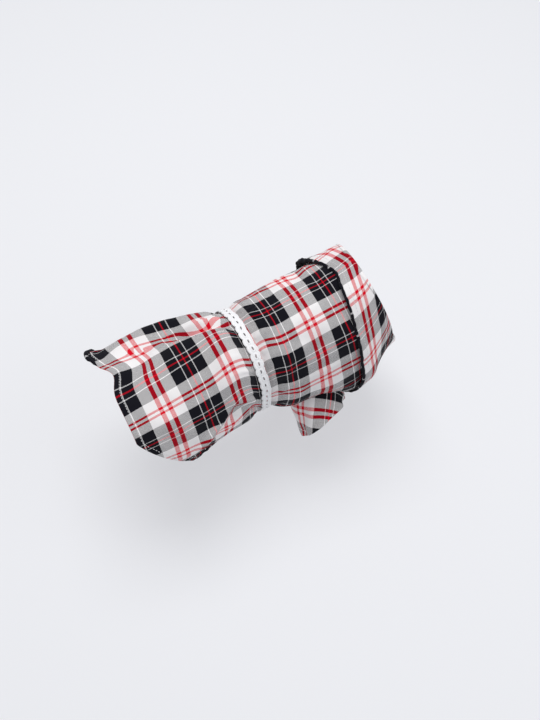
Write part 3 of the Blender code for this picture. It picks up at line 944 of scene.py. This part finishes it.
def make_skirt():
    """The skirt's panel with turned hems, the stitches of its hem, and its two rolled-up stretches."""
    points, uv, normals, from_hem, from_side, across = skirt_surface()
    piece = make_piece("skirt_cloth", points, uv, flip=True)
    wall(piece, SHEET)
    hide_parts("skirt")
    threads = hem_stitches("skirt_hem_stitches", points, normals, from_hem, from_side, SHEET)
    off = (across[-1] - TIP_AT) / TIP_ROLL_REACH
    tip = np.abs(off) < 1
    radius = TIP_ROLL * np.sqrt(1 - off[tip] ** 2)
    up = normals[-1, tip]
    tip_roll = edge_roll("skirt_tip_roll", points[-1, tip] + 0.5 * TIP_ROLL * up, up, radius)
    side = from_hem[:, -1] < CORNER_ROLL_LENGTH
    share = from_hem[side, -1] / CORNER_ROLL_LENGTH
    radius = CORNER_ROLL * np.sqrt(np.clip(4 * share * (1 - share), 0, 1))
    corner_roll = edge_roll("skirt_corner_roll", points[side, -1], normals[side, -1], radius)
    return piece, [threads, tip_roll, corner_roll]


# Collar

STAND_ROWS = 22
TURN_ROWS = 10
CURL_AT = -66
CURL_WIDTH = 14
CURL_ROLL = 0.0020

# Lifts of the fall's edge: turn and width in degrees, height in millimetres, the places on the
# fall where each starts and is full, and the power of its rise
COLLAR_LIFTS = (
    (CURL_AT, 17, 6.5, 2.45, 3.0, 1.5),
    (20, 15, 2.2, 2.5, 3.0, 1.0),
    (95, 14, 2.2, 2.3, 2.9, 1.0),
)


def collar_surface():
    """Grid of the collar's sheet, its map and the distance from its outer edge.

    The rows climb the stand, turn over and run down the fall. The far part of the edge curls up off
    the bodice.
    """
    stand = np.linspace(0, 1, STAND_ROWS, endpoint=False)
    fold = np.linspace(1, 2, TURN_ROWS, endpoint=False)
    fall = np.linspace(2, 3, COLLAR_GRID[0] + 1 - STAND_ROWS - TURN_ROWS)
    places = np.concatenate([stand, fold, fall])
    slant = np.clip(places - 2, 0, 1) * POINT_SETBACK
    reach = pi - COLLAR_OPENING / 2 - slant
    across = np.linspace(-1, 1, COLLAR_GRID[1] + 1)
    place, spread = np.meshgrid(places, across, indexing="ij")
    turn = spread * reach[:, None]
    base = collar_point(place, turn)
    middle = COLLAR_GRID[1] // 2
    from_edge = arc_along(base[::-1], 0)[::-1]
    down = arc_along(base, 0)
    mid_row = int(np.searchsorted(places, 2.55))
    around = arc_along(base, 1, middle)[[mid_row]] + 0 * place
    from_front = np.minimum(arc_along(base, 1), arc_along(base[:, ::-1], 1)[:, ::-1])
    on_fall = smooth_step(2.0, 2.3, place)
    lift = undulation(down, around, 21, 0.0006, 0.02, 0.07) * on_fall
    lift += hem_lift(from_edge) * on_fall
    for at, width, height, start, full, power in COLLAR_LIFTS:
        bell = np.exp(-((turn - radians(at)) / radians(width)) ** 2)
        lift += height / 1000 * bell * smooth_step(start, full, place) ** power
    normals = -grid_normals(base, False)
    points = base + (CLOTH / 2 + np.maximum(lift, -0.0006))[..., None] * normals
    lengthwise_map = (COLLAR_STRIPE - from_edge) / REPEAT
    crosswise_map = SPINE_PLAID + around / REPEAT
    uv = np.stack([lengthwise_map, crosswise_map], axis=-1)
    return points, uv, normals, from_edge, from_front


def make_collar():
    """The collar, the roll that ends its fall, black from the cloth's black band and painted shade, and the
    stitches along that edge.
    """
    points, uv, normals, from_edge, from_front = collar_surface()
    piece = make_piece("collar_cloth", points, uv, flip=True)
    wall(piece, COLLAR_SHEET)
    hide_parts("collar")
    edge, up = points[-1], normals[-1]
    ahead = unit(edge - points[-3])
    from_end = np.minimum(from_front[-1] / ROLL_RADIUS, 1)
    along_edge = np.linspace(-180, 180, points.shape[1])
    curl = np.exp(-((along_edge - CURL_AT) / CURL_WIDTH) ** 2)
    radius = (ROLL_RADIUS + CURL_ROLL * curl) * np.sqrt(1 - (1 - from_end) ** 2)
    roll = edge_roll("collar_edge_roll", edge + ROLL_AHEAD * ahead, up, radius)
    threads = hem_stitches("collar_stitches", points, normals, from_edge, from_front, COLLAR_SHEET)
    return piece, [threads, roll]


# Sleeves

SLEEVE_FLUTES = ((5, 0.0016, 1.2), (8, 0.0010, 3.0))
SLEEVE_CREASE = radians(237)
SLEEVE_CREASE_HEIGHT = 0.0020
SLEEVE_CREASE_WIDTH = radians(11)
SLEEVE_FACET = radians(27)
SLEEVE_FACET_DEPTH = 0.0011
SLEEVE_FACET_WIDTH = radians(15)
SEAM_CLEARANCE = 0.0004


def armhole_loop(radius, lift, side, around):
    """A loop of the given radius on the bodice's inner face, lifted off it by lift."""
    along = (ARMHOLE_REACH + radius * np.cos(around)) / BODICE_LENGTH
    near_share = smooth_column(BODICE_SECTIONS, "near", ARMHOLE_REACH / BODICE_LENGTH)
    turn = side * (ARMHOLE_TURN + radius * np.sin(around) / (WAIST_HALF_WIDTH * near_share))
    along = np.broadcast_to(along, turn.shape)
    return bodice_face(along, turn) + lift * outward(along, turn)


def sleeve_surface(side):
    """Grid of a sleeve and its map.

    It runs straight from the armhole's edge to a wider, slanting hem, and flutes, one crease with a
    facet on each side, unevenness and the turned hem lift it outward.
    """
    around = np.linspace(0, 2 * pi, SLEEVE_GRID[1] + 1)
    root = armhole_loop(ARMHOLE_RADIUS + SEAM_CLEARANCE, CLOTH / 2 - SEAM_CLEARANCE, side, around)
    centre_along = np.array([ARMHOLE_REACH / BODICE_LENGTH])
    centre_turn = np.array([side * ARMHOLE_TURN])
    seat = bodice_face(centre_along, centre_turn)[0]
    axis = unit(outward(centre_along, centre_turn)[0] + np.array([SLEEVE_FORWARD, 0, 0]))
    along_body = unit(np.array([1.0, 0, 0]) - axis * axis[0])
    across_body = unit(root[SLEEVE_GRID[1] // 4] - seat)
    across_body = unit(across_body - axis * (across_body @ axis))
    slant = SLEEVE_SLANT * np.cos(around - pi)
    radius = SLEEVE_HEM_RADIUS - CLOTH / 2
    hem = (
        seat
        + (SLEEVE_LENGTH + slant)[:, None] * axis
        + radius * np.cos(around)[:, None] * along_body
        + radius * np.sin(around)[:, None] * across_body
    )
    share = np.linspace(0, 1, SLEEVE_GRID[0] + 1)
    ease = (share ** SLEEVE_EASE)[:, None, None]
    base = root[None] + ease * (hem - root)[None]
    down = arc_along(base, 0)
    across = arc_along(base, 1, round(SLEEVE_RED_TURN / (2 * pi) * SLEEVE_GRID[1]))
    from_hem = down[-1:] - down
    out = unit(np.cos(around)[:, None] * along_body + np.sin(around)[:, None] * across_body)
    share = share[:, None]
    lift = 0 * down
    for count, height, start in SLEEVE_FLUTES:
        lift += height * np.sin(count * around + start) * smooth_step(0.25, 1.0, share)
    off = around - SLEEVE_CREASE
    crease = SLEEVE_CREASE_HEIGHT * np.exp(-(off / SLEEVE_CREASE_WIDTH) ** 2)
    crease -= SLEEVE_FACET_DEPTH * np.exp(-((np.abs(off) - SLEEVE_FACET) / SLEEVE_FACET_WIDTH) ** 2)
    lift += crease * smooth_step(0.0, 0.5, share)
    lift += undulation(down, across, 31, 0.0004, 0.012, 0.03) * smooth_step(0.1, 0.4, share)
    lift += hem_lift(from_hem)
    lift[:, -1] = lift[:, 0]
    points = base + lift[..., None] * out[None]
    past_line = down - SLEEVE_RED_ARC
    cosine, sine = np.cos(SLEEVE_GRAIN), np.sin(SLEEVE_GRAIN)
    lengthwise_map = cosine * past_line - sine * across
    crosswise_map = cosine * across + sine * past_line
    uv = np.stack([lengthwise_map, crosswise_map], axis=-1) / REPEAT
    return points, uv


def make_sleeve(name, side):
    """One sleeve, closed round the leg."""
    points, uv = sleeve_surface(side)
    points[:, -1] = points[:, 0]
    piece = make_piece(name + "_cloth", points, uv, flip=side > 0)
    weld(piece)
    wall(piece, SHEET)
    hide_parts(name)
    return piece


# Waist lace

LACE_CELLS = 43
CELL_ROUND = 40
CELL_RINGS = 9
LACE_WIDTH = 0.0096
EYELET_HALF_LENGTH = 0.0022
EYELET_HALF_WIDTH = 0.0008
EYELET_RIM = 0.00050
EYELET_RIM_WIDTH = 0.0006
SCALLOP = 0.0010
LACE_SHEET = 0.0008

# Raised cords along the lace, as rise, distance from its edge and width, and its waves, as
# count round the waist and size
LACE_CORDS = ((0.00045, 0.0007, 0.0007), (0.00022, 0.0026, 0.0005))
LACE_WAVES = ((9, 0.0004), (23, 0.00025))


def make_lace():
    """The lace band: cells with an eyelet each, whose rings blend from the eyelet to the cell's edge.

    A cell's outline is its rectangle, whose skirt side bulges in a scallop. The rim of the eyelet
    and both edges are raised like cords.
    """
    girth_places = np.linspace(-pi, pi, 721)
    lift = CLOTH + LACE_CLEARANCE + LACE_THICKNESS / 2
    ring = section(
        reach=0.0 * girth_places,
        lean=0.0,
        top=lift,
        depth=WAIST_DEPTH + 2 * lift,
        near=WAIST_HALF_WIDTH + lift,
        far=WAIST_HALF_WIDTH + lift,
        shape=BODY_POWER,
        turn=girth_places,
    )
    arc = arc_along(ring, 0)
    pitch = arc[-1] / LACE_CELLS
    angle = (np.arange(CELL_ROUND) + 0.5) * 2 * pi / CELL_ROUND
    square = np.stack([np.cos(angle), np.sin(angle)], axis=-1)
    square = square / np.abs(square).max(axis=-1, keepdims=True)
    outer = square * np.array([pitch / 2, LACE_WIDTH / 2])
    scallop = SCALLOP * np.cos(pi * outer[:, 0] / pitch) ** 0.8
    outer[:, 1] -= np.where(square[:, 1] < -0.99, scallop, 0)
    inner = np.stack([EYELET_HALF_LENGTH * np.cos(angle), EYELET_HALF_WIDTH * np.sin(angle)], axis=-1)
    blend = np.linspace(0, 1, CELL_RINGS + 1)[:, None, None] ** 1.25
    flat = inner[None] + blend * (outer - inner)[None]
    from_eyelet = np.linalg.norm(flat - inner[None], axis=-1)
    edge_distance = np.minimum(LACE_WIDTH / 2 - flat[..., 1], LACE_WIDTH / 2 + flat[..., 1])
    height = EYELET_RIM * np.exp(-((from_eyelet - EYELET_RIM_WIDTH) / EYELET_RIM_WIDTH) ** 2)
    for rise, at, width in LACE_CORDS:
        height += rise * np.exp(-((edge_distance - at) / width) ** 2)
    cell_start = (np.arange(LACE_CELLS) + 0.5) * pitch
    along_ring = cell_start[:, None, None] + flat[None, ..., 0]
    reach = flat[..., 1] + 0 * along_ring
    round_share = 2 * pi * along_ring / arc[-1]
    wave = 0 * round_share
    for count, size in LACE_WAVES:
        wave += size * np.sin(count * round_share)
    wrapped = np.mod(along_ring, arc[-1])
    position = np.stack([np.interp(wrapped, arc, ring[:, k]) for k in range(3)], axis=-1)
    ahead = np.gradient(ring, axis=0)
    normal = unit(np.cross(ahead, np.array([1.0, 0.0, 0.0])))
    normal = np.stack([np.interp(wrapped, arc, normal[:, k]) for k in range(3)], axis=-1)
    from_middle = position - position.mean(axis=(0, 1, 2))
    normal = normal * np.sign(np.sum(normal * from_middle, axis=-1, keepdims=True))
    points = position + (height[None] + 0 * reach)[..., None] * normal
    points[..., 0] += reach + wave
    rings, count = CELL_RINGS + 1, CELL_ROUND
    index = np.arange(LACE_CELLS * rings * count).reshape(LACE_CELLS, rings, count)
    after = np.roll(index, -1, axis=2)
    quads = np.stack([index[:, :-1], after[:, :-1], after[:, 1:], index[:, 1:]], axis=-1)
    quads = quads.reshape(-1, 4)
    mesh = bpy.data.meshes.new("lace_band")
    mesh.from_pydata(points.reshape(-1, 3).tolist(), [], quads.tolist())
    lay_map(mesh, np.stack([reach, along_ring], axis=-1).reshape(-1, 2)[quads.reshape(-1)])
    piece = add_piece("lace_band", mesh, lace_cotton)
    weld(piece)
    wall(piece, LACE_SHEET)
    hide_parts("waist_lace")
    return piece


# Stage, light and camera

FLOOR_HEIGHT = -0.19
FLOOR_HALF = 6.0
LIGHT_AIM = (0, 0, -0.05)
WORLD_STRENGTH = 0.46

# Square soft lights: name, place, size, power and colour
LIGHTS = (
    ("key", (0.12, 0.40, 1.5), 1.1, 18.5, (1.0, 0.99, 0.98)),
    ("fill", (0.9, -0.9, 1.0), 1.2, 4.5, (0.98, 0.99, 1.0)),
)
CAMERA_AZIMUTH = radians(-28.5)
CAMERA_ELEVATION = radians(57)
CAMERA_DISTANCE = 1.0
CAMERA_LENS = 50.0
AIM_RIGHT = 0.029
AIM_UP = -0.0296


def make_stage():
    """A plain pale floor that glows a little, as a lit studio table does."""
    mesh = bpy.data.meshes.new("floor")
    corners = np.array([(-1, -1), (1, -1), (1, 1), (-1, 1)]) * FLOOR_HALF
    mesh.from_pydata([(x, y, FLOOR_HEIGHT) for x, y in corners], [], [(0, 1, 2, 3)])
    floor = bpy.data.objects.new("floor", mesh)
    bpy.context.scene.collection.objects.link(floor)
    nodes = Nodes("pale_floor")
    nodes.surface({
        "Base Color": (0.392, 0.396, 0.408, 1), "Roughness": 0.9, "Specular IOR Level": 0.1,
        "Emission Color": (0.956, 0.964, 1.0, 1), "Emission Strength": 0.47,
    })
    mesh.materials.append(nodes.material)


def area_light(name, place, size, power, colour):
    """A square soft light at place that points at the dress."""
    data = bpy.data.lights.new(name, "AREA")
    data.size = size
    data.energy = power
    data.color = colour
    light = bpy.data.objects.new(name, data)
    bpy.context.scene.collection.objects.link(light)
    light.location = place
    light.rotation_mode = "QUATERNION"
    light.rotation_quaternion = (Vector(LIGHT_AIM) - Vector(place)).to_track_quat("-Z", "Y")


def make_lights():
    """Soft studio light: a pale world, a large light above and behind, and a weak one in front."""
    world = bpy.data.worlds.new("studio")
    world.use_nodes = True
    background = world.node_tree.nodes["Background"]
    background.inputs[0].default_value = (0.93, 0.95, 1.0, 1)
    background.inputs[1].default_value = WORLD_STRENGTH
    bpy.context.scene.world = world
    for light in LIGHTS:
        area_light(*light)


def make_camera():
    """The camera at the photograph's angle, aimed so that no lens shift is needed."""
    azimuth, elevation = CAMERA_AZIMUTH, CAMERA_ELEVATION
    right = np.array([np.cos(azimuth), np.sin(azimuth), 0])
    back = np.array([
        np.sin(azimuth) * np.cos(elevation),
        -np.cos(azimuth) * np.cos(elevation),
        np.sin(elevation),
    ])
    up = np.cross(back, right)
    aim = AIM_RIGHT * right + AIM_UP * up
    data = bpy.data.cameras.new("camera")
    data.lens = CAMERA_LENS
    camera = bpy.data.objects.new("camera", data)
    bpy.context.scene.collection.objects.link(camera)
    camera.location = aim + CAMERA_DISTANCE * back
    camera.rotation_mode = "QUATERNION"
    camera.rotation_quaternion = Vector(-back).to_track_quat("-Z", "Y")
    bpy.context.scene.camera = camera


bodice = make_bodice()
skirt, skirt_details = make_skirt()
collar, collar_details = make_collar()
sleeve_near = make_sleeve("sleeve_near", 1)
sleeve_far = make_sleeve("sleeve_far", -1)
lace = make_lace()

make_stage()
make_lights()
make_camera()
bpy.context.scene.view_settings.view_transform = "Standard"
